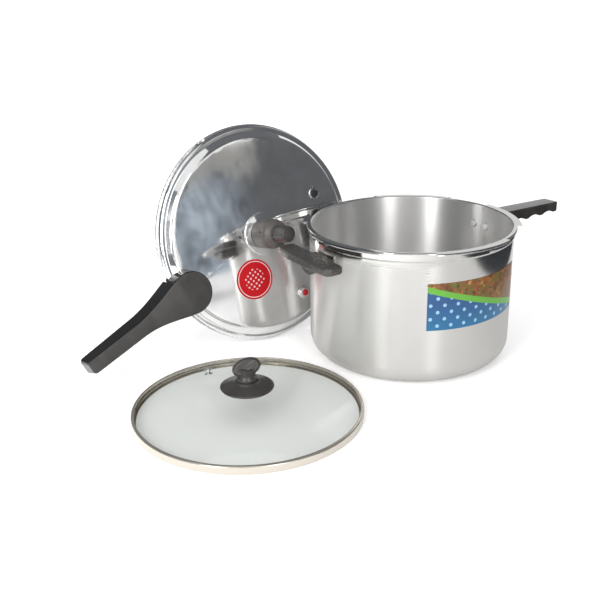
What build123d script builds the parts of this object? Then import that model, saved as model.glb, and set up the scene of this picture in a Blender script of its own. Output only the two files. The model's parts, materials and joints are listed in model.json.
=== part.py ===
"""Stovetop pressure canner: a pot, its locking pressure lid and a glass lid, in millimetres.

Origin at the middle of the pot's base, +Z up, +X along the pot's long handle. The pressure lid
stands on its edge behind the pot and the glass lid lies flat in front, as the set is laid out.
"""
import math
import os

from build123d import *

# Pot: a 24 cm pot, seven litres
POT_INNER_R = 119.2
POT_WALL = 2.2
POT_OUTER_R = POT_INNER_R + POT_WALL
POT_HEIGHT = 161.5
POT_BASE = 4.0
POT_CORNER_R = 24.0
NECK_R = 123.0
NECK_Z = 150.0
FLANGE_R = 124.8
LUG_R = 130.0
LUG_THICK = 2.6
LUG_COUNT = 5
LUG_PITCH = 360.0 / LUG_COUNT
LUG_SPAN = 46.0
LUG_MIDDLE = 47.0

# Long handle of the pot
RIVET_SPACING = 20.8
RIVET_Z = 135.5
RIVET_R = 2.4
RIVET_HEAD_R = 5.0
BRACKET_THICK = 2.0
BRACKET_R = POT_OUTER_R + BRACKET_THICK
GRIP_START = 125.4
GRIP_END = 258.0
GRIP_TOP = 149.2
GRIP_END_TOP = 145.0
GRIP_ROOT_WIDTH = 26.0
GRIP_END_WIDTH = 23.0
TONGUE_Z = 135.0
GRIP_SCREW_X = 152.0
GRIP_SCREW_SEAT = 128.0

# Helper handle opposite: a wing on a short stem
HELPER_AZIMUTH = 176.0
WING_INNER = 133.0
WING_OUTER = 159.0
WING_HALF = 54.0
WING_TOP = 145.5
WING_THICK = 9.2
WING_END_DEPTH = 22.5
STEM_R = 19.0
STEM_Z = 143.0
STEM_END = 147.0
HELPER_TONGUE_Z = 135.0

# Pressure lid, in its own frame: Z is its axis, X runs along its handle, the rim's edge is Z 0
LID_R = 136.2
LID_BEAD = 1.6
LID_WALL = 2.5
SKIRT_R = 133.8
SKIRT_TOP = 10.0
SHOULDER_FOOT_R = 127.2
SHOULDER_R = 121.2
RIDGE_R = 7.0
LID_APEX = 21.0
DOME_R = 1600.0
BOSS_R = 27.0
BOSS_TOP = 22.4
TAB_INNER_R = 125.8
TAB_TOP = 2.5
TAB_SPAN = 22.0
PLUG_R = 91.0
INDICATOR_R = 97.0
INDICATOR_ANGLE = 94.0
HEAD_X = 123.3
HEAD_LEAVE = 78.0
NECK_X = 200.0
LID_GRIP_END = 269.0
LID_SCREW_X = (100.2, 110.4)

# Where the pressure lid stands: its axis faces the front and leans back
LID_AXIS_AZIMUTH = -93.5
LID_AXIS_RISE = 13.0
LID_HANDLE_TURN = -155.0
LID_X = -119.5
LID_Y = 157.6

# Regulator on the vent pipe
PIPE_R = 5.0
PIPE_BORE_R = 1.6
PIPE_TOP = 40.0
BELL_R = 18.5
BELL_HEIGHT = 35.0
GRIP_LENGTH = 25.0
STEAM_HOLE_ANGLE = 320.0
BELL_FOOT = BOSS_TOP + 1.0

# Glass lid
GLASS_X = -256.2
GLASS_Y = -28.0
GLASS_R = 123.0
GLASS_THICK = 4.0
GLASS_APEX = 30.9
GLASS_SPHERE = 338.0
BAND_R = 125.0
KNOB_R = 29.5
KNOB_FOOT = GLASS_APEX + 0.3
EYELET_R = 80.0
EYELET_ANGLE = 91.5
PAD_Z = 54.5
PAD_FACES = -121.8
PAD_RISE = 20.0
PAD_TILT = 17.0


def turned(outline, angle=360.0):
    """Solid of revolution about Z from (radius, height, corner radius) points."""
    corners = [(r, 0, z) for r, z, _ in outline]
    path = FilletPolyline(*corners, radius=[c for _, _, c in outline], close=True)
    return revolve(make_face(path), Axis.Z, angle)


def disc(radius, bottom, top):
    """Plain round plate between two heights."""
    return Pos(0, 0, bottom) * Cylinder(radius, top - bottom, align=(Align.CENTER, Align.CENTER, Align.MIN))


def rod_x(radius, start, end, y, z):
    """Round rod along X."""
    rod = Cylinder(radius, end - start, align=(Align.CENTER, Align.CENTER, Align.MIN))
    return Pos(start, y, z) * Rot(0, 90, 0) * rod


def rod_y(radius, start, end, x, z):
    """Round rod along Y."""
    rod = Cylinder(radius, end - start, align=(Align.CENTER, Align.CENTER, Align.MIN))
    return Pos(x, start, z) * Rot(-90, 0, 0) * rod


def hexagon_nut(across, bottom, top, bore):
    """Hexagon nut about Z with its bore."""
    blank = Pos(0, 0, bottom) * extrude(RegularPolygon(across / 2, 6, major_radius=False), top - bottom)
    return blank - disc(bore, bottom - 1, top + 1)


def mushroom(head_r, head_h, shank_r, length):
    """Screw or rivet: a low round head above Z 0 and a shank below it."""
    head = turned([(0, 0, 0), (head_r, 0, 0), (head_r, head_h, head_h * 0.7), (0, head_h, 0)])
    return head + disc(shank_r, -length, 0.1)


def along_arc(solid, angle):
    """The solid turned about Z."""
    return Rot(0, 0, angle) * solid


# Pot


def pot_rivets():
    """Two rivets through the wall, head inside, second head outside over the bracket."""
    rivets = []
    for y in (-RIVET_SPACING / 2, RIVET_SPACING / 2):
        inner = math.sqrt(POT_INNER_R**2 - y**2)
        outer = math.sqrt(BRACKET_R**2 - y**2)
        rivet = mushroom(RIVET_HEAD_R, 2.0, RIVET_R, outer - inner + 0.5)
        rivet = Pos(inner, y, RIVET_Z) * Rot(0, -90, 0) * rivet
        rivets.append(rivet + rod_x(RIVET_R + 0.8, outer - 0.2, outer + 1.0, y, RIVET_Z))
    return rivets


def pot_shell(fasteners):
    """Drawn pot: flat base, rounded corner, thickened neck, rim flange with five locking lugs."""
    shell = turned(
        [
            (0, 0, 0),
            (POT_OUTER_R, 0, POT_CORNER_R),
            (POT_OUTER_R, NECK_Z, 1.0),
            (NECK_R, NECK_Z + 1.7, 1.0),
            (NECK_R, POT_HEIGHT - LUG_THICK, 0),
            (FLANGE_R, POT_HEIGHT - LUG_THICK, 0.6),
            (FLANGE_R, POT_HEIGHT, 1.6),
            (POT_INNER_R, POT_HEIGHT, 1.6),
            (POT_INNER_R, POT_BASE, POT_CORNER_R - 4.0),
            (0, POT_BASE, 0),
        ]
    )
    lug = turned(
        [
            (NECK_R - 1, POT_HEIGHT - LUG_THICK, 0),
            (LUG_R, POT_HEIGHT - LUG_THICK, 0.6),
            (LUG_R, POT_HEIGHT, 1.6),
            (NECK_R - 1, POT_HEIGHT, 0),
        ],
        LUG_SPAN,
    )
    for i in range(LUG_COUNT):
        shell += along_arc(lug, LUG_MIDDLE - LUG_SPAN / 2 + i * LUG_PITCH)
    for fastener in fasteners:
        shell -= fastener
    return shell


def handle_bracket(fasteners, tongue_z, reach):
    """Steel bracket: curved wall plate and the tongue that a grip slides over."""
    plate = turned(
        [(POT_OUTER_R, 124, 0), (BRACKET_R, 124, 0), (BRACKET_R, 144, 0), (POT_OUTER_R, 144, 0)], 15
    )
    tongue = Box(reach, 7, 8, align=(Align.MIN, Align.CENTER, Align.CENTER))
    tongue = Pos(BRACKET_R - 0.6, 0, tongue_z) * tongue
    bracket = along_arc(plate, -7.5) + tongue
    for fastener in fasteners:
        bracket -= fastener
    return bracket


def handle_screw(x, seat):
    """Screw up through a grip into the tongue."""
    return Pos(x, 0, seat) * Rot(180, 0, 0) * mushroom(4.0, 2.2, 2.0, 8.0)


def screw_pit(x, seat):
    """Counterbore for a handle screw's head, open below."""
    return Pos(x, 0, 0) * disc(4.4, seat - 16, seat)


def rivet_pits():
    """Pockets in a grip's root that clear the rivets' outer heads."""
    pits = rod_x(4.2, BRACKET_R - 1, GRIP_START + 1.6, -RIVET_SPACING / 2, RIVET_Z)
    return pits + rod_x(4.2, BRACKET_R - 1, GRIP_START + 1.6, RIVET_SPACING / 2, RIVET_Z)


def handle_grip(bracket, screw):
    """Phenolic grip: flat top, three finger scallops below, narrower at its end."""
    side = make_face(
        FilletPolyline(
            (GRIP_START, 0, GRIP_TOP),
            (GRIP_END, 0, GRIP_END_TOP),
            (GRIP_END, 0, GRIP_END_TOP - 12.5),
            (176, 0, GRIP_TOP - 17.5),
            (158, 0, GRIP_TOP - 23.0),
            (GRIP_START, 0, GRIP_TOP - 27.0),
            radius=[0, 2.6, 4.5, 9.0, 9.0, 0],
            close=True,
        )
    )
    plan = make_face(
        FilletPolyline(
            (GRIP_START, -GRIP_ROOT_WIDTH / 2),
            (GRIP_END, -GRIP_END_WIDTH / 2),
            (GRIP_END, GRIP_END_WIDTH / 2),
            (GRIP_START, GRIP_ROOT_WIDTH / 2),
            radius=[0, 3.6, 3.6, 0],
            close=True,
        )
    )
    grip = extrude(side, 30, both=True) & (Pos(0, 0, 100) * extrude(plan, 60))
    for i in range(3):
        x = 182.0 + 28.0 * i
        grip -= rod_y(20.0, -30, 30, x, GRIP_END_TOP - 29.8)
    top_edges = grip.edges().filter_by(lambda e: e.center().Z > GRIP_END_TOP - 3)
    top_edges = top_edges.filter_by(lambda e: e.center().X > GRIP_START + 1)
    grip = fillet(top_edges, 1.4)
    return grip - rivet_pits() - screw_pit(GRIP_SCREW_X, GRIP_SCREW_SEAT) - bracket - screw


def helper_grip(bracket, screw):
    """Phenolic wing with rounded edges on a half-round stem, free at both ends for the fingers."""
    plan = make_face(
        FilletPolyline(
            (WING_INNER, -WING_HALF + 2.0),
            (WING_INNER + WING_END_DEPTH, -WING_HALF),
            (WING_OUTER, -22.0),
            (WING_OUTER, 22.0),
            (WING_INNER + WING_END_DEPTH, WING_HALF),
            (WING_INNER, WING_HALF - 2.0),
            radius=[5.0, 9.0, 26.0, 26.0, 9.0, 5.0],
            close=True,
        )
    )
    wing = Pos(0, 0, WING_TOP - WING_THICK) * extrude(plan, WING_THICK)
    wing = fillet(wing.edges().group_by(Axis.Z)[0] + wing.edges().group_by(Axis.Z)[-1], 2.6)
    stem = rod_x(STEM_R, BRACKET_R + 0.3, STEM_END, 0, STEM_Z)
    stem &= Pos(110, 0, WING_TOP - 4.0) * Box(80, 80, 80, align=(Align.MIN, Align.CENTER, Align.MAX))
    stem -= disc(BRACKET_R + 0.3, 100, 160)
    return wing + stem - rivet_pits() - screw_pit(137, 126.6) - bracket - screw


def jar_rack():
    """Perforated plate on six bent feet that keeps jars off the base."""
    rack = disc(108.0, 16.5, 18.0)
    rack = fillet(rack.edges().sort_by(Axis.Z)[-1], 0.7)
    for ring_r, count in ((0.0, 1), (28.0, 6), (56.0, 12), (84.0, 18)):
        for i in range(count):
            rack -= along_arc(Pos(ring_r, 0, 0) * disc(5.5, 10, 30), 360.0 * i / count)
    for i in range(6):
        foot = Pos(70.0, 0, POT_BASE + 0.3) * Box(1.5, 16, 13, align=(Align.CENTER, Align.CENTER, Align.MIN))
        rack += along_arc(foot, 60.0 * i + 30)
    return rack


# Pressure lid


def dome(radius):
    """Height of the lid's outside dome at a radius."""
    return LID_APEX - radius**2 / (2 * DOME_R)


def dome_arc(radius, drop):
    """Arc of the dome in the XZ plane from a radius to the axis."""
    half = radius / 2
    middle = (half, 0, dome(half) - drop)
    return ThreePointArc((radius, 0, dome(radius) - drop), middle, (0, 0, LID_APEX - drop))


def ring_edge(solid, radius):
    """The solid's round edge nearest to a radius."""
    return solid.edges().filter_by(GeomType.CIRCLE).sort_by(lambda e: abs(e.radius - radius))[0]


def lid_envelope():
    """The lid's outside filled in: what a piece seated on the lid is trimmed by."""
    rim = FilletPolyline(
        (0, 0, -8), (LID_R, 0, -8), (LID_R, 0, 2 * LID_BEAD), (SKIRT_R, 0, 2 * LID_BEAD),
        (SKIRT_R, 0, SKIRT_TOP), (SHOULDER_FOOT_R, 0, SKIRT_TOP), (SHOULDER_R, 0, dome(SHOULDER_R)),
        radius=[0, 0, 0, 3.5, 1.5],
    )
    top = dome_arc(SHOULDER_R, 0)
    axis = Line((0, 0, LID_APEX), (0, 0, -8))
    envelope = revolve(make_face(Curve() + [rim, top, axis]), Axis.Z)
    return fillet(ring_edge(envelope, SHOULDER_R), RIDGE_R)


def lid_shell(fittings):
    """Pressed lid: rolled edge, skirt with five inward tabs, rounded shoulder, low dome, flat boss."""
    outside = FilletPolyline(
        (SKIRT_R - LID_WALL, 0, 0.4), (SKIRT_R, 0, 0.4), (SKIRT_R, 0, SKIRT_TOP),
        (SHOULDER_FOOT_R, 0, SKIRT_TOP), (SHOULDER_R, 0, dome(SHOULDER_R)),
        radius=[0, 3.5, 1.5],
    )
    inner_r = SHOULDER_R - 1.1
    inside = FilletPolyline(
        (inner_r, 0, dome(inner_r) - LID_WALL), (SHOULDER_FOOT_R - 1.1, 0, SKIRT_TOP - LID_WALL),
        (SKIRT_R - LID_WALL, 0, SKIRT_TOP - LID_WALL), (SKIRT_R - LID_WALL, 0, 0.4),
        radius=[1.0, 1.5],
    )
    top = dome_arc(SHOULDER_R, 0)
    axis = Line((0, 0, LID_APEX), (0, 0, LID_APEX - LID_WALL))
    below = dome_arc(inner_r, LID_WALL)
    shell = revolve(make_face(Curve() + [outside, top, axis, below, inside]), Axis.Z)
    shell = fillet(ring_edge(shell, SHOULDER_R), RIDGE_R)
    shell = fillet(ring_edge(shell, inner_r), RIDGE_R - LID_WALL)
    shell += Torus(LID_R - LID_BEAD, LID_BEAD).moved(Location((0, 0, LID_BEAD)))
    shell += turned([(0, 20, 0), (BOSS_R, 20, 0), (BOSS_R, BOSS_TOP, 1.2), (0, BOSS_TOP, 0)])
    tab_root = SKIRT_R - LID_WALL + 0.5
    tab = turned(
        [(TAB_INNER_R, 0.6, 0.6), (tab_root, 0.6, 0), (tab_root, TAB_TOP, 0), (TAB_INNER_R, TAB_TOP, 0.6)],
        TAB_SPAN,
    )
    for i in range(LUG_COUNT):
        shell += along_arc(tab, LUG_MIDDLE - TAB_SPAN / 2 + i * LUG_PITCH)
    shell -= disc(PIPE_R, 0, 40)
    shell -= Pos(-PLUG_R, 0, 0) * disc(5.6, 0, 40)
    shell -= at_indicator(disc(5.6, 0, 40))
    for fitting in fittings:
        shell -= fitting
    return shell


def sealing_gasket():
    """Rubber ring inside the shoulder, with the lip that lies on the pot's rim."""
    return turned(
        [
            (116.4, 13.8, 0.8),
            (116.4, 9.4, 0.5),
            (117.6, 6.2, 0.5),
            (124.4, 6.2, 0.5),
            (124.0, 9.1, 0.8),
            (119.2, 13.6, 0.8),
        ]
    )


def vent_pipe():
    """Vent pipe with its collar on the boss and its thread through the lid."""
    pipe = turned(
        [
            (PIPE_BORE_R, 6.0, 0),
            (PIPE_R, 6.0, 0),
            (PIPE_R, BOSS_TOP, 0),
            (7.5, BOSS_TOP, 0),
            (7.5, BOSS_TOP + 3.0, 0.5),
            (3.6, BOSS_TOP + 3.0, 0.5),
            (3.6, PIPE_TOP - 3.0, 0),
            (PIPE_BORE_R + 0.3, PIPE_TOP, 0),
            (PIPE_BORE_R, PIPE_TOP, 0),
        ]
    )
    return pipe


def lid_underside(radius):
    """Height of the lid's underside at a radius."""
    return dome(radius) - LID_WALL


def regulator_bell():
    """Bell of the regulator: straight foot, then a round shoulder up to the grip, with a steam hole."""
    foot = BELL_FOOT
    top = foot + BELL_HEIGHT
    outside = Spline(
        (BELL_R, 0, foot + 18.0), (16.4, 0, foot + 28.5), (10.8, 0, top), tangents=[(0, 0, 1), (-0.5, 0, 1)]
    )
    rest = Polyline(
        (10.8, 0, top), (6.0, 0, top), (6.0, 0, foot + 30.0), (12.0, 0, foot + 25.0),
        (15.6, 0, foot + 16.0), (15.6, 0, foot), (BELL_R, 0, foot), (BELL_R, 0, foot + 18.0),
    )
    bell = revolve(make_face(Curve() + [outside, rest]), Axis.Z)
    hole = Cylinder(1.5, 30, align=(Align.CENTER, Align.CENTER, Align.MIN))
    return bell - Pos(0, 0, foot + 22.0) * Rot(0, 0, STEAM_HOLE_ANGLE) * Rot(0, 90, 0) * hole


def regulator_grip():
    """Ribbed grip on top of the bell."""
    foot = BELL_FOOT + BELL_HEIGHT
    end = foot + GRIP_LENGTH
    grip = turned([(0, foot, 0), (10.8, foot, 0.6), (9.6, end, 3.0), (0, end, 0)])
    for i in range(14):
        rib_gap = Pos(11.4, 0, foot + 3.0) * Cylinder(1.4, 34, align=(Align.CENTER, Align.CENTER, Align.MIN))
        grip -= along_arc(rib_gap, 360.0 * i / 14)
    return grip + disc(5.0, foot - 5.0, foot)


def regulator_weight(bell, grip):
    """Steel weight inside the bell with the bore that drops over the vent pipe."""
    foot = BELL_FOOT
    weight = turned(
        [
            (4.2, foot + 3.2, 0),
            (11.0, foot + 3.2, 0),
            (11.0, foot + 21.0, 0),
            (6.0, foot + 29.0, 0),
            (0, foot + 29.0, 0),
            (0, PIPE_TOP + 0.4, 0),
            (4.2, PIPE_TOP + 0.4, 0),
        ]
    )
    return weight + disc(6.0, foot + 28.5, foot + 30.0) - bell - grip


def safety_eyelet():
    """Metal eyelet for the overpressure plug, rolled over both faces of the lid."""
    top = dome(PLUG_R)
    eyelet = turned(
        [
            (4.6, top - 4.2, 0),
            (7.2, top - 4.2, 0.5),
            (7.2, top - LID_WALL - 0.3, 0),
            (5.6, top - LID_WALL - 0.3, 0),
            (5.6, top - 0.2, 0),
            (7.4, top - 0.2, 0),
            (7.4, top + 1.6, 0.8),
            (4.6, top + 1.6, 0.5),
        ]
    )
    return Pos(-PLUG_R, 0, 0) * eyelet


def safety_plug():
    """Rubber plug pressed into the eyelet."""
    top = dome(PLUG_R)
    plug = turned(
        [
            (0, top - 6.5, 0),
            (3.4, top - 6.5, 0.8),
            (4.6, top - 4.2, 0),
            (4.6, top + 1.4, 0),
            (4.4, top + 3.4, 1.2),
            (0, top + 3.4, 0),
        ]
    )
    return Pos(-PLUG_R, 0, 0) * plug


def at_indicator(solid):
    """Move a solid from the lid's axis to the pressure indicator."""
    return Rot(0, 0, INDICATOR_ANGLE) * Pos(INDICATOR_R, 0, 0) * solid


def indicator_bush():
    """Turned metal bush that guides the indicator, threaded through the lid."""
    top = dome(INDICATOR_R)
    return at_indicator(
        turned(
            [
                (4.0, top - 9.0, 0),
                (5.6, top - 9.0, 0),
                (5.6, top - 0.2, 0),
                (8.4, top - 0.2, 0),
                (8.4, top + 1.8, 0.5),
                (7.2, top + 2.4, 0.4),
                (7.2, top + 5.0, 1.0),
                (4.0, top + 5.0, 0.5),
            ]
        )
    )


def indicator_seal():
    """Rubber ring between the lid's underside and the nut."""
    top = dome(INDICATOR_R)
    return at_indicator(
        turned(
            [(5.6, top - 4.6, 0), (8.6, top - 4.6, 0.4), (8.6, top - 3.1, 0.4), (5.6, top - 3.1, 0)]
        )
    )


def indicator_nut():
    """Nut that pulls the bush tight from below."""
    top = dome(INDICATOR_R)
    return at_indicator(hexagon_nut(15.0, top - 8.1, top - 4.6, 5.6))


def indicator_pin():
    """Red pin that steam lifts in the bush, with the foot that stops it."""
    top = dome(INDICATOR_R)
    return at_indicator(
        turned(
            [
                (0, top - 15.8, 0),
                (5.2, top - 15.8, 0.5),
                (5.2, top - 14.4, 0.3),
                (3.92, top - 14.4, 0),
                (3.92, top + 6.2, 1.0),
                (0, top + 6.2, 0),
            ]
        )
    )


def lid_screws():
    """Two screws up from inside the lid into the handle's head."""
    screws = []
    for x in LID_SCREW_X:
        seat = lid_underside(x) - 1.8
        screws.append(Pos(x, 0, seat) * Rot(180, 0, 0) * mushroom(4.4, 2.2, 2.2, 13.0))
    return screws


def lid_washers(screws):
    """Sealing washers below the lid, one at each screw."""
    washers = []
    for x, screw in zip(LID_SCREW_X, screws):
        low = lid_underside(x)
        washers.append(Pos(x, 0, 0) * disc(4.9, low - 1.8, low - 0.5) - screw)
    return washers


def lid_plan(height, head_r, neck, end_half, end_x, end_r):
    """Plan of the lid's handle at one height: round head, drawn in to the grip, rounded end."""
    along = math.cos(math.radians(HEAD_LEAVE))
    aside = math.sin(math.radians(HEAD_LEAVE))
    tip = HEAD_X + head_r * along
    side = head_r * aside
    head = ThreePointArc((tip, side), (HEAD_X - head_r, 0), (tip, -side))
    bend = tip + 20 * aside
    draw = side - 20 * along
    lower = Bezier((tip, -side), (bend, -draw), (bend + 24, -neck), (NECK_X, -neck))
    upper = Bezier((NECK_X, neck), (bend + 24, neck), (bend, draw), (tip, side))
    end = FilletPolyline(
        (NECK_X, -neck), (end_x, -end_half), (end_x, end_half), (NECK_X, neck), radius=[end_r, end_r]
    )
    return Pos(0, 0, height) * make_face(Curve() + [head, lower, end, upper])


def lid_grip(envelope, screws):
    """Phenolic handle of the lid: flared sides, round head seated on the dome, bent down to the grip."""
    top = lid_plan(33.0, 25.8, 7.3, 7.2, LID_GRIP_END, 4.0)
    foot = lid_plan(-1.0, 27.0, 13.0, 11.0, LID_GRIP_END + 3.5, 5.0)
    side = make_face(
        FilletPolyline(
            (70, 0, 10), (70, 0, 32.0), (132, 0, 32.5), (176, 0, 24.5),
            (300, 0, 21.0), (300, 0, 1.0), (137, 0, 1.0), (137, 0, 10),
            radius=[0, 0, 28.0, 40.0, 0, 0, 0, 0],
            close=True,
        )
    )
    grip = loft([top, foot], ruled=True) & extrude(side, 60, both=True)
    grip -= envelope
    rim = grip.edges().filter_by(lambda e: e.center().Z > 20.2 and e.length > 2)
    grip = fillet(rim, 1.6)
    for screw in screws:
        grip -= screw
    return grip


# Glass lid, in its own frame on the table


def glass_cap(radius, thick):
    """Spherical cap of glass with a ground edge."""
    centre = GLASS_APEX - GLASS_SPHERE
    cap = Pos(0, 0, centre) * (Sphere(GLASS_SPHERE) - Sphere(GLASS_SPHERE - thick))
    return cap & disc(radius, 0, GLASS_APEX + 1)


def glass_height(radius):
    """Height of the glass's outside at a radius."""
    return GLASS_APEX - GLASS_SPHERE + math.sqrt(GLASS_SPHERE**2 - radius**2)


def glass_band(pane):
    """Rolled steel band that holds the edge of the glass and reaches below it."""
    edge = glass_height(121.4)
    band = turned(
        [
            (119.6, 0, 0.3),
            (BAND_R, 0, 1.0),
            (BAND_R, edge + 0.7, 1.8),
            (121.4, edge + 1.0, 0.4),
            (121.4, 3.3, 0),
            (BAND_R - 1.2, 3.3, 0.3),
            (BAND_R - 1.2, 0.9, 0.3),
            (119.6, 0.9, 0.3),
        ]
    )
    return band - pane


def steam_eyelet():
    """Steel eyelet in the steam hole of the glass, set square to the dome."""
    eyelet = turned(
        [
            (1.4, -5.0, 0),
            (4.6, -5.0, 0.4),
            (4.6, -4.1, 0),
            (2.6, -4.1, 0),
            (2.6, 0.1, 0),
            (4.8, 0.1, 0),
            (4.8, 1.2, 0.6),
            (1.4, 1.2, 0.4),
        ]
    )
    return at_steam_hole(eyelet)


def at_steam_hole(solid):
    """Move a solid from the axis to the steam hole, square to the dome."""
    lean = math.degrees(math.asin(EYELET_R / GLASS_SPHERE))
    return Rot(0, 0, EYELET_ANGLE) * Pos(EYELET_R, 0, glass_height(EYELET_R)) * Rot(0, lean, 0) * solid


def knob_screw():
    """Screw from below through the glass into the knob."""
    low = GLASS_APEX - GLASS_THICK - 1.4
    return Pos(0, 0, low) * Rot(180, 0, 0) * mushroom(6.0, 2.6, 2.6, 20.0)


def knob_washer(screw):
    """Washer between the screw's head and the glass."""
    low = GLASS_APEX - GLASS_THICK - 1.4
    return disc(9.0, low, low + 1.2) - screw


def knob_base(screw):
    """Dished base of the knob: a wide low cone with a turned edge up to a seat for the grip."""
    base = turned(
        [
            (0, KNOB_FOOT, 0),
            (14.0, KNOB_FOOT, 0),
            (KNOB_R - 1.5, KNOB_FOOT - 0.4, 0.6),
            (KNOB_R, KNOB_FOOT + 1.6, 0.9),
            (14.5, KNOB_FOOT + 6.6, 6.0),
            (12.4, KNOB_FOOT + 8.6, 1.0),
            (0, KNOB_FOOT + 8.6, 0),
        ]
    )
    return base - screw


def knob_grip(screw):
    """Oval pad for the thumb, creased across its face and leaning back on a waisted collar."""
    foot = KNOB_FOOT + 8.6
    collar = turned(
        [
            (0, foot, 0),
            (11.4, foot, 1.0),
            (11.4, foot + 3.0, 1.4),
            (9.4, foot + 6.0, 2.0),
            (10.4, PAD_Z, 0),
            (0, PAD_Z, 0),
        ]
    )
    facing = math.radians(PAD_FACES)
    rise = math.radians(PAD_RISE)
    normal = Vector(math.cos(facing) * math.cos(rise), math.sin(facing) * math.cos(rise), math.sin(rise))
    level = Vector(0, 0, 1).cross(normal).normalized()
    tilt = math.radians(PAD_TILT)
    long_way = level * math.cos(tilt) + normal.cross(level) * math.sin(tilt)
    stand = Plane(origin=(0, 0, PAD_Z), x_dir=long_way, z_dir=normal).location
    pad = Pos(0, 0, -6.0) * extrude(Ellipse(15.7, 9.8), 12.0)
    pad = fillet(pad.edges(), 4.6)
    crease = Pos(0, 0.5, 10.4) * Rot(0, 0, 16) * Rot(0, 90, 0) * Cylinder(5.0, 60)
    return collar + stand * (pad - crease) - screw


def put_out(node, *solids):
    """Write one node of the set."""
    shape = solids[0] if len(solids) == 1 else Compound(children=list(solids))
    export_step(shape, f"parts/{node}.step")


os.makedirs("parts", exist_ok=True)

# Pot and its handles
rivets = pot_rivets()
bracket = handle_bracket(rivets, TONGUE_Z, 46)
screw = handle_screw(GRIP_SCREW_X, GRIP_SCREW_SEAT)
stub = handle_bracket(rivets, HELPER_TONGUE_Z, 20)
stub_screw = handle_screw(137, 126.6)
back_rivets = [along_arc(rivet, HELPER_AZIMUTH) for rivet in rivets]
put_out("pot_shell", pot_shell(rivets + back_rivets))
put_out("pot_handle_bracket", bracket - screw)
put_out("pot_handle_rivets", *rivets)
put_out("pot_handle_grip", handle_grip(bracket, screw))
put_out("pot_handle_screw", screw)
put_out("helper_handle_bracket", along_arc(stub - stub_screw, HELPER_AZIMUTH))
put_out("helper_handle_rivets", *back_rivets)
put_out("helper_handle_grip", along_arc(helper_grip(stub, stub_screw), HELPER_AZIMUTH))
put_out("helper_handle_screw", along_arc(stub_screw, HELPER_AZIMUTH))
put_out("jar_rack", jar_rack())

# Pressure lid, stood on its edge behind the pot
azimuth = math.radians(LID_AXIS_AZIMUTH)
rise = math.radians(LID_AXIS_RISE)
turn = math.radians(LID_HANDLE_TURN)
lid_axis = Vector(math.cos(azimuth) * math.cos(rise), math.sin(azimuth) * math.cos(rise), math.sin(rise))
across = Vector(0, 0, 1).cross(lid_axis).normalized()
upward = lid_axis.cross(across)
lid_height = (LID_R - LID_BEAD) * math.cos(rise) + LID_BEAD - LID_BEAD * math.sin(rise)
stand = Plane(
    origin=(LID_X, LID_Y, lid_height),
    x_dir=across * math.cos(turn) + upward * math.sin(turn),
    z_dir=lid_axis,
).location

pipe = vent_pipe()
pipe_washer = disc(9.0, 16.8, LID_APEX - LID_WALL) - disc(PIPE_R, 10, 30)
pipe_nut = hexagon_nut(16.0, 12.0, 16.8, PIPE_R)
bell = regulator_bell()
bell_grip = regulator_grip()
eyelet = safety_eyelet()
bush = indicator_bush()
seal = indicator_seal()
screws = lid_screws()
washers = lid_washers(screws)
lid = lid_shell([pipe, eyelet, bush] + screws)
put_out("lid_shell", stand * lid)
put_out("sealing_gasket", stand * sealing_gasket())
put_out("vent_pipe", stand * pipe)
put_out("vent_pipe_washer", stand * (pipe_washer - lid))
put_out("vent_pipe_nut", stand * pipe_nut)
put_out("regulator_bell", stand * bell)
put_out("regulator_grip", stand * bell_grip)
put_out("regulator_weight", stand * regulator_weight(bell, bell_grip))
put_out("safety_plug_eyelet", stand * eyelet)
put_out("safety_plug", stand * safety_plug())
put_out("indicator_bush", stand * bush)
put_out("indicator_seal", stand * seal)
put_out("indicator_nut", stand * indicator_nut())
put_out("indicator_pin", stand * indicator_pin())
put_out("lid_handle_grip", stand * lid_grip(lid_envelope(), screws))
put_out("lid_handle_screws", *[stand * s for s in screws])
put_out("lid_handle_washers", *[stand * w for w in washers])

# Glass lid, laid flat in front
table = Location((GLASS_X, GLASS_Y, 0))
steam = steam_eyelet()
fixing = knob_screw()
pane = glass_cap(GLASS_R, GLASS_THICK) - at_steam_hole(disc(2.6, -10, 10)) - steam - disc(2.6, 0, 40)
put_out("glass_pane", table * pane)
put_out("glass_band", table * glass_band(pane))
put_out("steam_eyelet", table * steam)
put_out("knob_base", table * knob_base(fixing))
put_out("knob_grip", table * knob_grip(fixing))
put_out("knob_screw", table * fixing)
put_out("knob_washer", table * (knob_washer(fixing) - pane))
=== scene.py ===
import json
import math

import bmesh
import bpy
from mathutils import Euler, Matrix, Vector


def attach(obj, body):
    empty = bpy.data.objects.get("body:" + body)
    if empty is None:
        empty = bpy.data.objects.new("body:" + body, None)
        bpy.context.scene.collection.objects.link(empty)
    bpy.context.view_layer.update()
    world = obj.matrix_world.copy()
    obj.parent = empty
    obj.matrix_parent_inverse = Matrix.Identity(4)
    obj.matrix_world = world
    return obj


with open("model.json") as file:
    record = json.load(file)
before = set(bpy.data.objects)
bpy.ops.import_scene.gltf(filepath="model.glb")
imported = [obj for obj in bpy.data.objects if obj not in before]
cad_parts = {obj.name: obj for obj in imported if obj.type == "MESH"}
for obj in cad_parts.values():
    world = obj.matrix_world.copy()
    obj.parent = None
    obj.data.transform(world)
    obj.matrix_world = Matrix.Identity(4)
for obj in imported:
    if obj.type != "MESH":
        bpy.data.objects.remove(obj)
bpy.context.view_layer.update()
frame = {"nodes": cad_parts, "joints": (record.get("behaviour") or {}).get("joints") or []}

# Pot shell: aluminium sheet drawn deep into a pot, with a thicker neck and locking lugs on its rim. It is
# turned and polished on a lathe, then buffed once more round the neck and over the right of the upper
# wall. The rivets of both handles go through the wall and are of the same metal.
buffed_zone = {"wall": (0.1, 0.124), "right": (-0.075, -0.035), "neck": (0.14, 0.15)}
weld_gap = 0.000002


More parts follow.
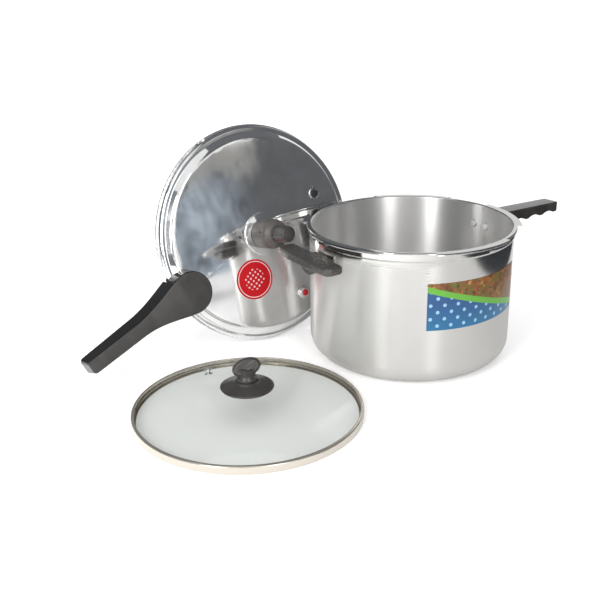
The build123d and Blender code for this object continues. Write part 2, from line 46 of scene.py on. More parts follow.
def linear(code):
    """sRGB hex colour as a linear RGBA tuple."""
    parts = [int(code[i : i + 2], 16) / 255 for i in (1, 3, 5)]
    return tuple(c / 12.92 if c <= 0.04045 else ((c + 0.055) / 1.055) ** 2.4 for c in parts) + (1.0,)


def add(tree, kind, inputs=None, stops=(), **settings):
    """Adds a shader node with its settings, its inputs and, on a colour ramp, its stops.

    An input is a value, a socket, or a node, which stands for its first output.
    """
    node = tree.nodes.new(kind)
    for name, value in settings.items():
        setattr(node, name, value)
    for name, value in (inputs or {}).items():
        if isinstance(value, bpy.types.Node):
            value = value.outputs[0]
        if isinstance(value, bpy.types.NodeSocket):
            tree.links.new(value, node.inputs[name])
        else:
            node.inputs[name].default_value = value
    if stops:
        points = node.color_ramp.elements
        while len(points) < len(stops):
            points.new(0.5)
        for point, (position, code) in zip(points, stops):
            point.position = position
            point.color = linear(code)
    return node


def new_material(name):
    """Empty node material and its tree."""
    material = bpy.data.materials.new(name)
    material.use_nodes = True
    material.node_tree.nodes.clear()
    return material, material.node_tree


def finish_material(tree, shader):
    """Ends a material's tree with its surface."""
    add(tree, "ShaderNodeOutputMaterial", {"Surface": shader})


def dress(name, material, sharp=38):
    """Gives a CAD node its material and smooth shading up to its sharp edges, in degrees.

    The node's mesh is loose triangles, so they are welded before the edges are split.
    """
    piece = frame["nodes"][name]
    piece.data.materials.clear()
    piece.data.materials.append(material)
    piece.data.polygons.foreach_set("use_smooth", [True] * len(piece.data.polygons))
    weld = piece.modifiers.new("Weld", "WELD")
    weld.merge_threshold = weld_gap
    split = piece.modifiers.new("Edges", "EDGE_SPLIT")
    split.split_angle = math.radians(sharp)


def turned_metal(name, outer, inner, rough, ring_mm, centre, axis, streak, satin, blotch, buffed=None):
    """Lathe-turned metal: rings about an axis, highlights stretched across them, and a satin share.

    The inside is left coarser than the outside and has less of the satin share. Where it is buffed, the
    outside is smoother and has none.
    """
    cloud_mm = 38.5
    ring_depth = 0.0002
    buffed_rough = 0.25
    inside_rough = 1.35
    inside_satin = 0.1
    material, tree = new_material(name)
    place = add(tree, "ShaderNodeTexCoord").outputs["Object"]
    normal = add(tree, "ShaderNodeNewGeometry").outputs["Normal"]
    arm = add(tree, "ShaderNodeVectorMath", {0: place, 1: centre}, operation="SUBTRACT")
    around = add(tree, "ShaderNodeVectorMath", {0: axis, 1: arm}, operation="CROSS_PRODUCT")
    profile = add(tree, "ShaderNodeVectorMath", {0: normal, 1: around}, operation="CROSS_PRODUCT")
    along = add(tree, "ShaderNodeVectorMath", {0: arm, 1: axis}, operation="DOT_PRODUCT").outputs["Value"]
    radius = add(tree, "ShaderNodeVectorMath", {0: around}, operation="LENGTH").outputs["Value"]
    lean = add(tree, "ShaderNodeVectorMath", {0: normal, 1: arm}, operation="DOT_PRODUCT").outputs["Value"]
    outside = add(tree, "ShaderNodeMath", {0: lean, 1: 0.0}, operation="GREATER_THAN")

    # The rings are counted out along the base and up the wall, so that they cross every face.
    track = add(tree, "ShaderNodeMath", {0: radius, 1: along}, operation="ADD")
    rings = add(
        tree,
        "ShaderNodeTexNoise",
        {"W": track, "Scale": 1000 / ring_mm, "Detail": 3.0},
        noise_dimensions="1D",
    )
    cloud = add(
        tree,
        "ShaderNodeTexNoise",
        {"Vector": place, "Scale": 1000 / cloud_mm, "Detail": 3.0, "Distortion": 0.8},
    )
    groove = add(
        tree, "ShaderNodeMapRange", {"Value": rings, "To Min": rough * 0.89, "To Max": rough * 1.11}
    )
    smear = add(tree, "ShaderNodeMapRange", {"Value": cloud, "To Min": -0.02, "To Max": 0.02})
    uneven = add(tree, "ShaderNodeMath", {0: groove, 1: smear}, operation="ADD")
    bump = add(tree, "ShaderNodeBump", {"Height": rings, "Strength": rough * 0.06, "Distance": ring_depth})

    # Each zone of the buffing fades in between two places, in metres.
    unbuffed = 1.0
    if buffed:
        sideways = add(tree, "ShaderNodeSeparateXYZ", {"Vector": place}).outputs["X"]
        zones = ((along, buffed["wall"]), (sideways, buffed["right"]), (along, buffed["neck"]))
        wall, right, neck = [
            add(
                tree,
                "ShaderNodeMapRange",
                {"Value": value, "From Min": start, "From Max": end},
                interpolation_type="SMOOTHSTEP",
            )
            for value, (start, end) in zones
        ]
        upper_wall = add(tree, "ShaderNodeMath", {0: wall, 1: right}, operation="MULTIPLY")
        both = add(tree, "ShaderNodeMath", {0: upper_wall, 1: neck}, operation="MAXIMUM")
        bright = add(tree, "ShaderNodeMath", {0: both, 1: outside}, operation="MULTIPLY")
        unbuffed = add(tree, "ShaderNodeMath", {0: 1.0, 1: bright}, operation="SUBTRACT")
    polish = add(
        tree,
        "ShaderNodeMath",
        {0: unbuffed, 1: 1.0 - buffed_rough, 2: buffed_rough},
        operation="MULTIPLY_ADD",
    )
    coarse = add(
        tree,
        "ShaderNodeMath",
        {0: outside, 1: 1.0 - inside_rough, 2: inside_rough},
        operation="MULTIPLY_ADD",
    )
    smoothed = add(tree, "ShaderNodeMath", {0: polish, 1: coarse}, operation="MULTIPLY")
    roughness = add(tree, "ShaderNodeMath", {0: uneven, 1: smoothed}, operation="MULTIPLY")

    # The surface leans away from the axis outside and towards it inside, which picks its colour.
    side = add(tree, "ShaderNodeMath", {0: lean, 1: 10.0, 2: 0.5}, operation="MULTIPLY_ADD")
    base = add(tree, "ShaderNodeValToRGB", {"Fac": side}, stops=[(0.2, inner), (0.8, outer)])
    patches = add(
        tree,
        "ShaderNodeMapRange",
        {"Value": cloud, "From Min": 0.35, "From Max": 0.65, "To Min": 1.0 - blotch, "To Max": 1.0},
    )
    shade = add(tree, "ShaderNodeVectorMath", {0: base, "Scale": patches}, operation="SCALE")
    metal = add(
        tree,
        "ShaderNodeBsdfPrincipled",
        {
            "Base Color": shade,
            "Metallic": 1.0,
            "Roughness": roughness,
            "Anisotropic": streak,
            "Tangent": profile,
            "Normal": bump,
        },
    )
    haze = add(tree, "ShaderNodeBsdfDiffuse", {"Color": shade})
    veil = add(
        tree,
        "ShaderNodeMath",
        {0: outside, 1: satin * (1.0 - inside_satin), 2: satin * inside_satin},
        operation="MULTIPLY_ADD",
    )
    share = add(tree, "ShaderNodeMath", {0: unbuffed, 1: veil}, operation="MULTIPLY")
    finish_material(tree, add(tree, "ShaderNodeMixShader", {0: share, 1: metal, 2: haze}))
    return material


# Turned aluminium: a satin wall on which lights become tall streaks. The real tool rings are a fraction of
# a millimetre apart, and are drawn about 1 mm apart so that they show.
pot_metal = turned_metal(
    "turned_aluminium",
    outer="#c4c3c0",
    # The inside colour is painted lighter than the outside: painted light for the light that bounces round
    # inside the pot.
    inner="#f2f1ef",
    rough=0.3,
    ring_mm=1.11,
    centre=(0, 0, 0),
    axis=(0, 0, 1),
    streak=0.95,
    satin=0.4,
    blotch=0.03,
    buffed=buffed_zone,
)
for name in ("pot_shell", "pot_handle_rivets", "helper_handle_rivets"):
    dress(name, pot_metal)

# Label: printed film stuck round the front of the wall. A blue field with pale dots rises to a slanting
# green rule and a mottled brown corner; nothing is written on it.
wall_radius = 0.1215
film_gap = 0.00015
label_low = 0.0705
label_high = 0.1255
label_start = math.radians(-123.4)
label_span = math.radians(66)
label_slope = 0.3
rule_height = 0.1155
corner_height = 0.1225
field_low = 0.07
field_high = 0.10226
label_dot_pitch = 0.016
mottle_mm = 3.33
mottle_stops = [
    (0.0, "#2e2412"),
    (0.3, "#6a3c1a"),
    (0.5, "#8c5426"),
    (0.65, "#4f5a1e"),
    (0.8, "#7a4622"),
    (1.0, "#b99a62"),
]


def new_piece(name, shape, material):
    """Makes a bmesh a smooth object with one material, at the origin."""
    for face in shape.faces:
        face.smooth = True
    mesh = bpy.data.meshes.new(name)
    shape.to_mesh(mesh)
    shape.free()
    mesh.materials.append(material)
    piece = bpy.data.objects.new(name, mesh)
    bpy.context.scene.collection.objects.link(piece)
    return piece


def dot_grid(tree, across, up, pitch, cut):
    """Staggered round dots, 1 on a dot and 0 around it. A higher cut gives smaller dots."""
    waves = []
    for value in (across, up):
        phase = add(tree, "ShaderNodeMath", {0: value, 1: 2 * math.pi / pitch}, operation="MULTIPLY")
        waves.append(add(tree, "ShaderNodeMath", {0: phase}, operation="SINE"))
    hills = add(tree, "ShaderNodeMath", {0: waves[0], 1: waves[1]}, operation="MULTIPLY")
    return add(tree, "ShaderNodeMath", {0: hills, 1: cut}, operation="GREATER_THAN")


def layered(tree, ground, layers):
    """Lays colours over a ground colour, each by its share."""
    for share, colour in layers:
        ground = add(tree, "ShaderNodeMix", {0: share, 6: ground, 7: colour}, data_type="RGBA").outputs[2]
    return ground


# Printed film: smooth ink under a clear coat, with an even gloss.
film, tree = new_material("printed_film")
place = add(tree, "ShaderNodeTexCoord").outputs["Object"]
xyz = add(tree, "ShaderNodeSeparateXYZ", {"Vector": place}).outputs
bearing = add(tree, "ShaderNodeMath", {0: xyz["Y"], 1: xyz["X"]}, operation="ARCTAN2")
turned = add(tree, "ShaderNodeMath", {0: bearing, 1: label_start}, operation="SUBTRACT")
arc = add(tree, "ShaderNodeMath", {0: turned, 1: wall_radius}, operation="MULTIPLY")
slant = add(tree, "ShaderNodeMath", {0: arc, 1: label_slope, 2: xyz["Z"]}, operation="MULTIPLY_ADD")
rule = add(tree, "ShaderNodeMath", {0: slant, 1: rule_height}, operation="GREATER_THAN")
corner = add(tree, "ShaderNodeMath", {0: slant, 1: corner_height}, operation="GREATER_THAN")
height = add(
    tree, "ShaderNodeMapRange", {"Value": xyz["Z"], "From Min": field_low, "From Max": field_high}
)
field = add(tree, "ShaderNodeValToRGB", {"Fac": height}, stops=[(0.0, "#1c638c"), (1.0, "#224a79")])
cells = add(tree, "ShaderNodeTexVoronoi", {"Vector": place, "Scale": 1000 / mottle_mm}).outputs["Color"]
mottle = add(tree, "ShaderNodeValToRGB", {"Fac": cells}, stops=mottle_stops)
dots = dot_grid(tree, arc, xyz["Z"], label_dot_pitch, 0.7)
ink = layered(tree, field, ((dots, linear("#8ab2cf")), (rule, linear("#5c9f34")), (corner, mottle)))
finish_material(tree, add(tree, "ShaderNodeBsdfPrincipled", {"Base Color": ink, "Roughness": 0.32}))

sheet = bmesh.new()
edge = [sheet.verts.new((wall_radius + film_gap, 0, z)) for z in (label_low, label_high)]
sheet.edges.new(edge)
bmesh.ops.rotate(sheet, verts=sheet.verts, cent=(0, 0, 0), matrix=Matrix.Rotation(label_start, 3, "Z"))
bmesh.ops.spin(
    sheet,
    geom=sheet.edges[:],
    cent=(0, 0, 0),
    axis=(0, 0, 1),
    angle=label_span,
    steps=48,
    use_duplicate=False,
)
bmesh.ops.recalc_face_normals(sheet, faces=sheet.faces)
pot_label = new_piece("pot_label", sheet, film)
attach(pot_label, "pot")

# Long handle and helper handle of the pot: compression-moulded phenolic, slid on brackets of pressed steel
# and held by one screw each from below. The long handle is drawn darker and glossier, and the helper handle
# is painted a lighter grey: painted light for the highlights along its edges.
grain_mm = 0.714
grain_depth = 0.0002
flow_mm = 25.0


def phenolic(name, code, rough):
    """Moulded thermoset, dark and dull, with faint flow marks and a grain drawn coarser than it is."""
    material, tree = new_material(name)
    place = add(tree, "ShaderNodeTexCoord").outputs["Object"]
    grain = add(tree, "ShaderNodeTexNoise", {"Vector": place, "Scale": 1000 / grain_mm, "Detail": 2.0})
    flow = add(
        tree,
        "ShaderNodeTexNoise",
        {"Vector": place, "Scale": 1000 / flow_mm, "Detail": 4.0, "Distortion": 0.6},
    )
    shade = layered(tree, linear(code), [(flow, linear("#413f3d"))])
    spread = add(
        tree, "ShaderNodeMapRange", {"Value": flow, "To Min": rough - 0.06, "To Max": rough + 0.08}
    )
    bump = add(tree, "ShaderNodeBump", {"Height": grain, "Strength": 0.12, "Distance": grain_depth})
    shader = add(
        tree, "ShaderNodeBsdfPrincipled", {"Base Color": shade, "Roughness": spread, "Normal": bump}
    )
    finish_material(tree, shader)
    return material


def plain_metal(name, code, rough, satin=0.0):
    """Pressed or rolled metal, clouded a little where it was handled, with a satin share."""
    cloud_mm = 16.7
    material, tree = new_material(name)
    place = add(tree, "ShaderNodeTexCoord").outputs["Object"]
    cloud = add(tree, "ShaderNodeTexNoise", {"Vector": place, "Scale": 1000 / cloud_mm, "Detail": 2.0})
    spread = add(
        tree, "ShaderNodeMapRange", {"Value": cloud, "To Min": rough * 0.85, "To Max": rough * 1.15}
    )
    metal = add(
        tree, "ShaderNodeBsdfPrincipled", {"Base Color": linear(code), "Metallic": 1.0, "Roughness": spread}
    )
    haze = add(tree, "ShaderNodeBsdfDiffuse", {"Color": linear(code)})
    finish_material(tree, add(tree, "ShaderNodeMixShader", {0: satin, 1: metal, 2: haze}))
    return material


dress("pot_handle_grip", phenolic("glossy_phenolic", "#121110", 0.22))
# The helper handle's grip is painted lighter than the long handle's: painted light for the highlights along
# its edges.
dress("helper_handle_grip", phenolic("painted_light_phenolic", "#3a3836", 0.26))
steel = plain_metal("plain_steel", "#b9b5ae", 0.3)
for name in ("pot_handle_bracket", "pot_handle_screw", "helper_handle_bracket", "helper_handle_screw"):
    dress(name, steel)

# Jar rack: aluminium plate stamped with holes, on bent feet at the bottom of the pot. It is left as it
# came from the press, so it is duller than the pot.
dress("jar_rack", plain_metal("stamped_aluminium", "#d2d1cf", 0.34))

# Lid shell: pressed aluminium, buffed round its axis until it mirrors the room, a little uneven where the
# press left it. It stands on its edge, and its axis comes from the joint that it turns on.
turn_joint = next(j for j in frame["joints"] if j["name"] == "lid_turn")
lid_centre = Vector(turn_joint["pos_m"])
lid_axis = Vector(turn_joint["axis"]).normalized()

# Buffed aluminium: nearly a mirror, with buffing rings drawn 2 mm apart so that they show.
lid_metal = turned_metal(
    "buffed_aluminium",
    outer="#ececec",
    inner="#dcdcdc",
    rough=0.07,
    ring_mm=2.0,
    centre=tuple(lid_centre),
    axis=tuple(lid_axis),
    streak=0.4,
    satin=0.03,
    blotch=0.12,
)
dress("lid_shell", lid_metal, 60)

# Red sticker: round vinyl disc stuck on the dome between the handle and the indicator, plain red with a
# white ring and a cluster of white dots. It is placed from the handle's turn about the lid's axis.
handle_turn = math.radians(-155.0)
dome_top = 0.021
dome_curve = 3.2
sticker_spot = Vector((0.0422, 0.0403, 0))
sticker_radius = 0.0252
sticker_lift = 0.00025
sticker_insets = 4
inset_width = 0.005
sticker_ring = 0.0225
ring_half_width = 0.0005
cluster_radius = 0.0135
sticker_dot_pitch = 0.0072
across = Vector((0, 0, 1)).cross(lid_axis).normalized()
upward = lid_axis.cross(across)
lid_x = across * math.cos(handle_turn) + upward * math.sin(handle_turn)
lid_y = lid_axis.cross(lid_x)
lid_place = Matrix((lid_x, lid_y, lid_axis)).transposed().to_4x4()
lid_place.translation = lid_centre

# Red vinyl: dyed film, matt enough that the lid's mirror stops at its edge.
vinyl, tree = new_material("red_vinyl")
place = add(tree, "ShaderNodeTexCoord").outputs["Object"]
spot_height = dome_top - sticker_spot.length_squared / dome_curve
middle = lid_place @ Vector((sticker_spot.x, sticker_spot.y, spot_height))
arm = add(tree, "ShaderNodeVectorMath", {0: place, 1: tuple(middle)}, operation="SUBTRACT")
reach = add(tree, "ShaderNodeVectorMath", {0: arm}, operation="LENGTH").outputs["Value"]
up, side = [
    add(tree, "ShaderNodeVectorMath", {0: arm, 1: tuple(way)}, operation="DOT_PRODUCT").outputs["Value"]
    for way in (upward, across)
]
beyond = add(tree, "ShaderNodeMath", {0: reach, 1: sticker_ring}, operation="SUBTRACT")
off_ring = add(tree, "ShaderNodeMath", {0: beyond}, operation="ABSOLUTE")
ring = add(tree, "ShaderNodeMath", {0: off_ring, 1: ring_half_width}, operation="LESS_THAN")
inner = add(tree, "ShaderNodeMath", {0: reach, 1: cluster_radius}, operation="LESS_THAN")
dots = dot_grid(tree, side, up, sticker_dot_pitch, 0.5)
cluster = add(tree, "ShaderNodeMath", {0: dots, 1: inner}, operation="MULTIPLY")
white = add(tree, "ShaderNodeMath", {0: ring, 1: cluster}, operation="MAXIMUM")
ink = layered(tree, linear("#b80012"), [(white, linear("#d8c6c8"))])
shader = add(
    tree, "ShaderNodeBsdfPrincipled", {"Base Color": ink, "Roughness": 0.5, "Specular IOR Level": 0.3}
)
finish_material(tree, shader)

disc = bmesh.new()
bmesh.ops.create_circle(disc, cap_ends=True, segments=96, radius=sticker_radius)
for _ in range(sticker_insets):
    middle_face = [face for face in disc.faces if len(face.verts) > 4]
    bmesh.ops.inset_region(disc, faces=middle_face, thickness=inset_width)
for vert in disc.verts:
    at = vert.co + sticker_spot
    vert.co = (at.x, at.y, dome_top - (at.x**2 + at.y**2) / dome_curve + sticker_lift)
bmesh.ops.transform(disc, matrix=lid_place, verts=disc.verts)
lid_sticker = new_piece("lid_sticker", disc, vinyl)
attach(lid_sticker, "pressure_lid")

# Sealing gasket and small seals: moulded rubber. The grey gasket lies in the lid's shoulder, and the black
# washers, ring and overpressure plug seal the fittings of the lid.
rubber_grain_mm = 1.43
rubber_grain_depth = 0.0003


def rubber(name, code, rough):
    """Moulded rubber, dry and matt, with a grain drawn coarser than it is."""
    material, tree = new_material(name)
    place = add(tree, "ShaderNodeTexCoord").outputs["Object"]
    grain = add(
        tree, "ShaderNodeTexNoise", {"Vector": place, "Scale": 1000 / rubber_grain_mm, "Detail": 3.0}
    )
    spread = add(tree, "ShaderNodeMapRange", {"Value": grain, "To Min": rough - 0.1, "To Max": rough + 0.1})
    bump = add(tree, "ShaderNodeBump", {"Height": grain, "Strength": 0.1, "Distance": rubber_grain_depth})
    shader = add(
        tree,
        "ShaderNodeBsdfPrincipled",
        {"Base Color": linear(code), "Roughness": spread, "Normal": bump},
    )
    finish_material(tree, shader)
    return material


dress("sealing_gasket", rubber("grey_rubber", "#8b8984", 0.6))
black_rubber = rubber("black_rubber", "#1a1a1a", 0.55)
for name in ("vent_pipe_washer", "safety_plug", "indicator_seal", "lid_handle_washers"):
    dress(name, black_rubber)

# Regulator: a grey moulded bell over a steel weight, with a black ribbed grip, sat loose on the vent pipe
# in the middle of the lid. The pipe, the nuts and the screws below the lid are plain steel too.
black_phenolic = phenolic("black_phenolic", "#252423", 0.28)
dress("regulator_bell", phenolic("grey_phenolic", "#57524e", 0.38))
dress("regulator_grip", black_phenolic)
for name in ("regulator_weight", "vent_pipe", "vent_pipe_nut", "indicator_nut", "lid_handle_screws"):
    dress(name, steel)

# Small bright fittings: the turned eyelet of the overpressure plug, the indicator's bush, which is screwed
# into the lid, and the steam eyelet in the glass. They are polished steel.
bright_steel = plain_metal("bright_steel", "#dcdcdc", 0.14)
for name in ("safety_plug_eyelet", "indicator_bush", "steam_eyelet"):
    dress(name, bright_steel)

# Indicator pin: red moulded plastic, loose in its bush, where steam lifts it. The colour is faintly uneven,
# as it is in a small moulding.
pin_cloud_mm = 2.5
red_plastic, tree = new_material("red_plastic")
place = add(tree, "ShaderNodeTexCoord").outputs["Object"]
cloud = add(tree, "ShaderNodeTexNoise", {"Vector": place, "Scale": 1000 / pin_cloud_mm})
shade = layered(tree, linear("#a8161a"), [(cloud, linear("#c4262a"))])
finish_material(tree, add(tree, "ShaderNodeBsdfPrincipled", {"Base Color": shade, "Roughness": 0.3}))
dress("indicator_pin", red_plastic)

# Lid handle: black phenolic, bolted by its round head from inside the lid. Where its broad face looks along
# the lid's axis it is painted a lighter grey as painted light, and made duller; its sides and rounded edges
# stay glossy black.
painted_face_phenolic, tree = new_material("painted_face_phenolic")
place = add(tree, "ShaderNodeTexCoord").outputs["Object"]
normal = add(tree, "ShaderNodeNewGeometry").outputs["Normal"]
facing = add(tree, "ShaderNodeVectorMath", {0: normal, 1: tuple(lid_axis)}, operation="DOT_PRODUCT")
# Painted light: the face that looks along the lid's axis gets the lighter grey below.
painted_lit_face = add(
    tree,
    "ShaderNodeMapRange",
    {"Value": facing.outputs["Value"], "From Min": 0.8, "From Max": 0.98},
    interpolation_type="SMOOTHSTEP",
)
flow = add(
    tree,
    "ShaderNodeTexNoise",
    {"Vector": place, "Scale": 1000 / flow_mm, "Detail": 4.0, "Distortion": 0.6},
)
grain = add(tree, "ShaderNodeTexNoise", {"Vector": place, "Scale": 1000 / grain_mm, "Detail": 2.0})
# Lighter grey of the painted light on the face, mottled by the flow marks.
painted_face_grey = add(tree, "ShaderNodeValToRGB", {"Fac": flow}, stops=[(0.3, "#2b2a28"), (0.7, "#3a3836")])
shade = layered(tree, linear("#151413"), [(painted_lit_face, painted_face_grey)])
spread = add(tree, "ShaderNodeMapRange", {"Value": painted_lit_face, "To Min": 0.2, "To Max": 0.45})
bump = add(tree, "ShaderNodeBump", {"Height": grain, "Strength": 0.12, "Distance": grain_depth})
shader = add(tree, "ShaderNodeBsdfPrincipled", {"Base Color": shade, "Roughness": spread, "Normal": bump})
finish_material(tree, shader)
dress("lid_handle_grip", painted_face_phenolic)

# Glass pane: tempered glass sagged into a shallow dome, faintly grey. The pane is thin, so light passes
# straight through it, and only its skin shines, in long soft ripples.
ripple_mm = 55.6
ripple_depth = 0.001
skin_shine = 0.1
glass, tree = new_material("tempered_glass")
place = add(tree, "ShaderNodeTexCoord").outputs["Object"]
ripple = add(tree, "ShaderNodeTexNoise", {"Vector": place, "Scale": 1000 / ripple_mm, "Detail": 1.0})
bump = add(tree, "ShaderNodeBump", {"Height": ripple, "Strength": 0.02, "Distance": ripple_depth})
through = add(tree, "ShaderNodeBsdfTransparent", {"Color": linear("#eeefee")})
shine = add(
    tree, "ShaderNodeBsdfAnisotropic", {"Color": linear("#ffffff"), "Roughness": 0.16, "Normal": bump}
)
fresnel = add(tree, "ShaderNodeFresnel", {"IOR": 1.5, "Normal": bump})
share = add(tree, "ShaderNodeMath", {0: fresnel, 1: skin_shine}, operation="MULTIPLY")
finish_material(tree, add(tree, "ShaderNodeMixShader", {0: share, 1: through, 2: shine}))
dress("glass_pane", glass)

# Glass band: strip of stainless steel rolled round the edge of the glass and polished. It is a little warm
# beside the aluminium.
dress("glass_band", plain_metal("polished_stainless", "#c4beb4", 0.24, 0.18))

# Knob: dished base and tilted grip of black phenolic, pulled down on the glass by a steel screw and washer
# from below.
for name in ("knob_base", "knob_grip"):
    dress(name, black_phenolic)
for name in ("knob_screw", "knob_washer"):
    dress(name, steel)

# Table: matt white paper. For the camera it is lifted towards white, less so near the object, where the
# shadow stays, and in mirroring surfaces it is brighter on the left.
table_half = 9.0
paper, tree = new_material("white_paper")
place = add(tree, "ShaderNodeTexCoord").outputs["Object"]
sideways = add(tree, "ShaderNodeSeparateXYZ", {"Vector": place}).outputs["X"]
reach = add(tree, "ShaderNodeVectorMath", {0: place}, operation="LENGTH").outputs["Value"]
light = add(tree, "ShaderNodeLightPath").outputs
lift = add(
    tree,
    "ShaderNodeMapRange",
    {"Value": reach, "From Min": 0.6, "From Max": 1.8, "To Min": 0.26, "To Max": 0.6},
)
slope = add(
    tree,
    "ShaderNodeMapRange",
    {"Value": sideways, "From Min": -0.5, "From Max": -0.05, "To Min": 0.75, "To Max": 0.0},
)
seen = add(tree, "ShaderNodeMath", {0: light["Is Camera Ray"], 1: lift}, operation="MULTIPLY")
mirrored = add(tree, "ShaderNodeMath", {0: light["Is Glossy Ray"], 1: slope}, operation="MULTIPLY")
strength = add(tree, "ShaderNodeMath", {0: seen, 1: mirrored}, operation="ADD")
matt = add(tree, "ShaderNodeBsdfDiffuse", {"Color": linear("#f2f2f2")})
glow = add(tree, "ShaderNodeEmission", {"Color": linear("#ffffff"), "Strength": strength})
finish_material(tree, add(tree, "ShaderNodeAddShader", {0: matt, 1: glow}))

board = bmesh.new()
bmesh.ops.create_grid(board, x_segments=1, y_segments=1, size=table_half)
table_top = new_piece("table", board, paper)

# Room: flat cards that show only in mirroring surfaces. A dim, blurred side of a room stands in front for
# the lid, and grey walls, floor and ceiling give the rims and the rolled edges their dark lines.
room_left = -3.0
room_right = 2.8
room_front = -2.0
room_back = 1.7
back_lean = 0.5
back_end = 1.4
low_wall_top = 1.1
tall_wall_top = 3.2
ceiling_height = 2.4
skirting = 0.18
floor_gap = 0.001
floor_split = 0.36
floor_left = -2.6
blur_mm = 77.0


def card_paint(name, code):
    """Even glow of one colour."""
    material, tree = new_material(name)
    finish_material(tree, add(tree, "ShaderNodeEmission", {"Color": linear(code), "Strength": 1.0}))
    return material


def upright(start, end, low, high):
    """Corners of a wall over the line between two points of the floor."""
    return [(*start, low), (*end, low), (*end, high), (*start, high)]


def level(near_left, far_right, height):
    """Corners of a flat rectangle at a height."""
    (left, near), (right, far) = near_left, far_right
    return [(left, near, height), (right, near, height), (right, far, height), (left, far, height)]


def mirrored_card(name, corners, material):
    """Flat card that shows only in mirroring surfaces."""
    sheet = bmesh.new()
    sheet.faces.new([sheet.verts.new(corner) for corner in corners])
    card = new_piece(name, sheet, material)
    card.visible_camera = False
    card.visible_shadow = False
    card.visible_diffuse = False
    card.visible_transmission = False


# Dim room: blue-grey blur drawn tall, darker to the right, with a pale window over the left part and a dark
# top. It fades out on its left edge.
dim, tree = new_material("dim_room")
place = add(tree, "ShaderNodeTexCoord").outputs["Object"]
xyz = add(tree, "ShaderNodeSeparateXYZ", {"Vector": place}).outputs
stretch = add(tree, "ShaderNodeVectorMath", {0: place, 1: (1.0, 1.0, 0.4)}, operation="MULTIPLY")
blur = add(
    tree,
    "ShaderNodeTexNoise",
    {"Vector": stretch, "Scale": 1000 / blur_mm, "Detail": 5.0, "Distortion": 1.4},
)
tint = add(
    tree,
    "ShaderNodeValToRGB",
    {"Fac": blur},
    stops=[(0.36, "#575d65"), (0.46, "#828b95"), (0.55, "#a5b1bd"), (0.64, "#c6d2dd")],
)
drift = add(tree, "ShaderNodeMath", {0: blur, 1: 0.5, 2: -0.25}, operation="MULTIPLY_ADD")
slant = add(tree, "ShaderNodeMath", {0: xyz["X"], 1: drift}, operation="ADD")
height = add(tree, "ShaderNodeMath", {0: xyz["Z"], 1: drift}, operation="ADD")
dark_end, window_end, sill, window, top, near_edge = [
    add(
        tree,
        "ShaderNodeMapRange",
        {"Value": value, "From Min": start, "From Max": end},
        interpolation_type="SMOOTHSTEP",
    )
    for value, start, end in (
        (slant, 0.5, 0.95),
        (slant, 0.85, 1.1),
        (height, 0.78, 0.95),
        (xyz["Z"], 1.05, 1.12),
        (xyz["Z"], 1.5, 1.6),
        (xyz["X"], 0.05, 0.12),
    )
]
left_part = add(tree, "ShaderNodeMath", {0: 1.0, 1: window_end}, operation="SUBTRACT")
left_sill = add(tree, "ShaderNodeMath", {0: sill, 1: left_part}, operation="MULTIPLY")
left_window = add(tree, "ShaderNodeMath", {0: window, 1: left_part}, operation="MULTIPLY")
tint = layered(
    tree,
    tint,
    (
        (dark_end, linear("#5b5d60")),
        (left_sill, linear("#a3a29e")),
        (left_window, linear("#ffffff")),
        (top, linear("#5c5e61")),
    ),
)
glow = add(tree, "ShaderNodeEmission", {"Color": tint, "Strength": 1.0})
gone = add(tree, "ShaderNodeBsdfTransparent")
finish_material(tree, add(tree, "ShaderNodeMixShader", {0: near_edge, 1: gone, 2: glow}))
dim_wall = upright((0.0, room_front), (room_right, room_front), skirting, ceiling_height)
mirrored_card("dim_room", dim_wall, dim)

dark = card_paint("dark_card", "#43464a")
floor_corners = ((0.062, -0.581), (0.91, -1.11), (1.46, -0.21), (0.62, 0.32))
mirrored_card("floor_edge", [(*corner, floor_gap) for corner in floor_corners], dark)
leaning_wall = [
    (room_left, room_back, low_wall_top),
    (back_end, room_back, low_wall_top),
    (back_end, room_back - back_lean, tall_wall_top),
    (room_left, room_back - back_lean, tall_wall_top),
]
mirrored_card("back_wall", leaning_wall, dark)

grey = card_paint("grey_card", "#63656a")
right_wall = upright((room_right, room_front), (room_right, 1.0), skirting, ceiling_height)
mirrored_card("ceiling", level((-0.3, room_front), (room_right, 1.6), ceiling_height), grey)
mirrored_card("right_wall", right_wall, grey)

mid = card_paint("mid_card", "#74777b")
left_wall = upright((room_left, -0.6), (room_left, 2.0), 0.0, tall_wall_top)
low_wall = upright((room_left, room_back), (back_end, room_back), 0.0, low_wall_top)
mirrored_card("left_wall", left_wall, mid)
mirrored_card("left_floor", level((floor_left, floor_split), (-0.3, room_back), floor_gap), mid)
mirrored_card("near_floor", level((floor_left, -0.8), (-0.75, floor_split), floor_gap), mid)
mirrored_card("low_wall", low_wall, mid)

pale = card_paint("pale_card", "#b4b6b8")
mirrored_card("left_screen", upright((floor_left, -0.5), (-1.45, -1.7), 0.0, 1.2), pale)

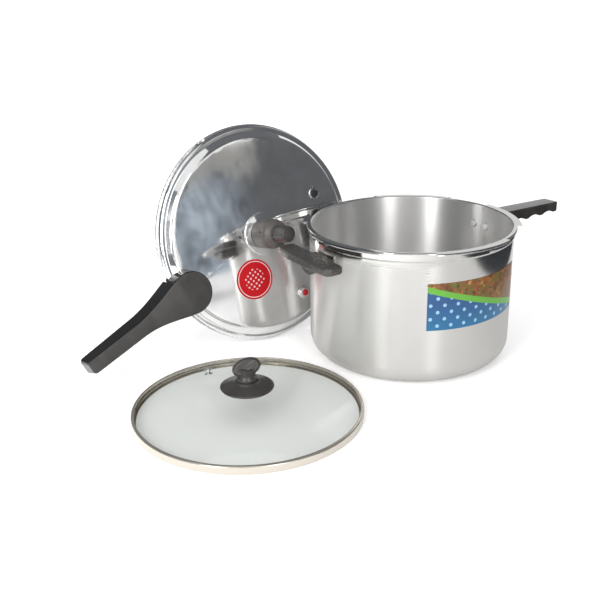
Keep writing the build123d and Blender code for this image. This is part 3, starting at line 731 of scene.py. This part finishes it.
# Surround and lamps: a white world, a large soft box above, a fill on the left, and two upright strips that
# draw the bright streaks on the pot's wall. The box and the fill don't show in mirroring surfaces.
world_light = 0.68
world = bpy.data.worlds.new("studio")
bpy.context.scene.world = world
world.use_nodes = True
tree = world.node_tree
tree.nodes.clear()
light = add(tree, "ShaderNodeLightPath").outputs
seen = add(
    tree, "ShaderNodeMath", {0: light["Is Camera Ray"], 1: light["Is Glossy Ray"]}, operation="MAXIMUM"
)
strength = add(tree, "ShaderNodeMapRange", {"Value": seen, "To Min": world_light, "To Max": 1.0})
sky = add(tree, "ShaderNodeBackground", {"Color": linear("#ffffff"), "Strength": strength})
add(tree, "ShaderNodeOutputWorld", {"Surface": sky})


def soft_box(name, place, aim, size, power, mirrored):
    """Rectangular area lamp pointed at a spot."""
    lamp = bpy.data.lights.new(name, "AREA")
    lamp.shape = "RECTANGLE"
    lamp.size, lamp.size_y = size
    lamp.energy = power
    holder = bpy.data.objects.new(name, lamp)
    holder.location = place
    holder.rotation_euler = (Vector(aim) - Vector(place)).to_track_quat("-Z", "Y").to_euler()
    holder.visible_glossy = mirrored
    bpy.context.scene.collection.objects.link(holder)


soft_box("top_box", (0.4, 0.4, 2.0), aim=(-0.12, 0.0, 0.0), size=(3.0, 3.0), power=14.0, mirrored=False)
soft_box("left_fill", (-1.2, -0.1, 0.5), aim=(-0.1, 0.0, 0.08), size=(1.0, 0.8), power=6.5, mirrored=False)
soft_box("left_strip", (-2.0, -0.82, 0.9), aim=(0.0, 0.0, 0.1), size=(0.48, 1.8), power=21.0, mirrored=True)
soft_box("right_strip", (-0.6, -2.1, 0.9), aim=(0.0, 0.0, 0.1), size=(0.5, 1.8), power=14.0, mirrored=True)

# Camera: a little over a metre from the pot, to its front left, looking down on it. The lens gives the
# narrow view of a product photograph.
eye = (-0.7060, -0.7569, 0.4588)
look_down = math.radians(21.08)
look_right = math.radians(35.56)
roll = math.radians(0.99)
view = bpy.data.cameras.new("camera")
view.lens = 53.45
view.sensor_width = 36.0
camera = bpy.data.objects.new("camera", view)
camera.location = eye
aim = Euler((math.radians(90) - look_down, 0, -look_right)).to_matrix()
camera.rotation_euler = (aim @ Matrix.Rotation(-roll, 3, "Z")).to_euler()
bpy.context.scene.collection.objects.link(camera)
bpy.context.scene.camera = camera
bpy.context.scene.view_settings.view_transform = "Standard"
